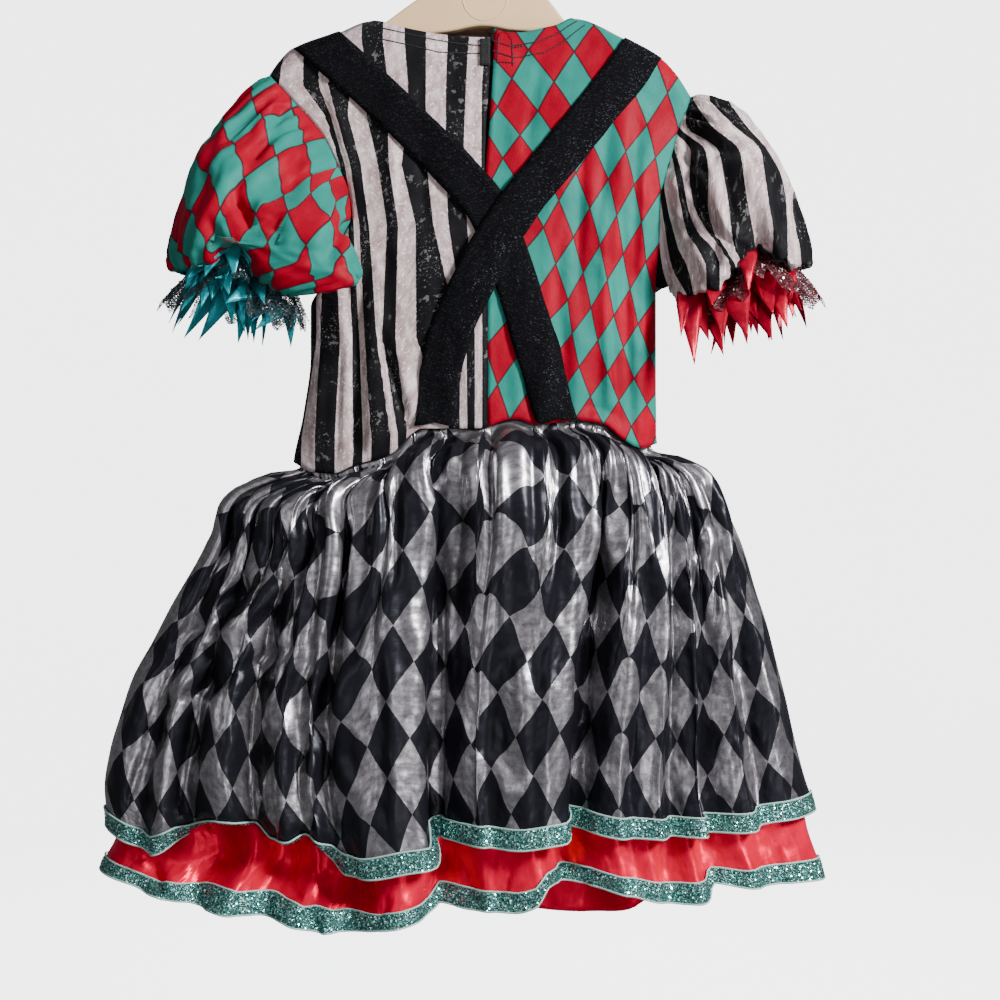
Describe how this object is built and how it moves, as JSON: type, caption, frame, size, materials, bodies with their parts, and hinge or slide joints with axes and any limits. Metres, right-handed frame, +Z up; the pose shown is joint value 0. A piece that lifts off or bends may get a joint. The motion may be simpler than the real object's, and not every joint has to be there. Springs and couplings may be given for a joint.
{
  "type": "clown costume dress on hanger",
  "caption": "Child's harlequin clown dress hung on a moulded hanger: striped and diamond bodice, puff sleeves with petal cuffs, crossed back straps, gathered satin skirt over a red underskirt.",
  "frame": {"origin": "inner top of the hanger's hook, where a rail carries it", "axes": "+Z up, +Y from the garment's back, which has the opening and crossed straps, to its front, +X from the sleeve with diamonds to the sleeve with stripes"},
  "size_m": [0.5419, 0.1395, 0.7795],
  "materials": {
    "stripe_jersey": "matt printed jersey, black and cream distressed stripes",
    "diamond_jersey": "matt printed jersey, red and teal diamonds with dark outlines",
    "satin_harlequin": "shiny satin, black and charcoal diamonds",
    "red_satin": "shiny red satin",
    "teal_satin": "soft teal satin",
    "glitter_ribbon": "sea-green metallic glitter ribbon",
    "glitter_elastic": "black elastic with fine glitter specks",
    "glitter_net": "black glitter net",
    "hook_loop": "black hook-and-loop tape",
    "hanger_plastic": "beige moulded plastic, satin",
    "hook_steel": "bright wire"
  },
  "bodies": {
    "root": {"bodice_back_left": "stripe_jersey", "bodice_back_right": "diamond_jersey", "bodice_front_left": "stripe_jersey", "bodice_front_right": "diamond_jersey", "closure_hook_tab": "hook_loop", "closure_loop_tab": "hook_loop", "cuff_net_left": "glitter_net", "cuff_net_right": "glitter_net", "cuff_points_left": "teal_satin", "cuff_points_right": "red_satin", "hanger_body": "hanger_plastic", "hanger_hook": "hook_steel", "skirt_outer_back": "satin_harlequin", "skirt_outer_front": "satin_harlequin", "sleeve_left": "diamond_jersey", "sleeve_right": "stripe_jersey", "strap_left": "glitter_elastic", "strap_right": "glitter_elastic", "trim_outer_back": "glitter_ribbon", "trim_outer_front": "glitter_ribbon", "trim_under_back": "glitter_ribbon", "trim_under_front": "glitter_ribbon", "underskirt_back": "red_satin", "underskirt_front": "red_satin"}
  },
  "joints": []
}
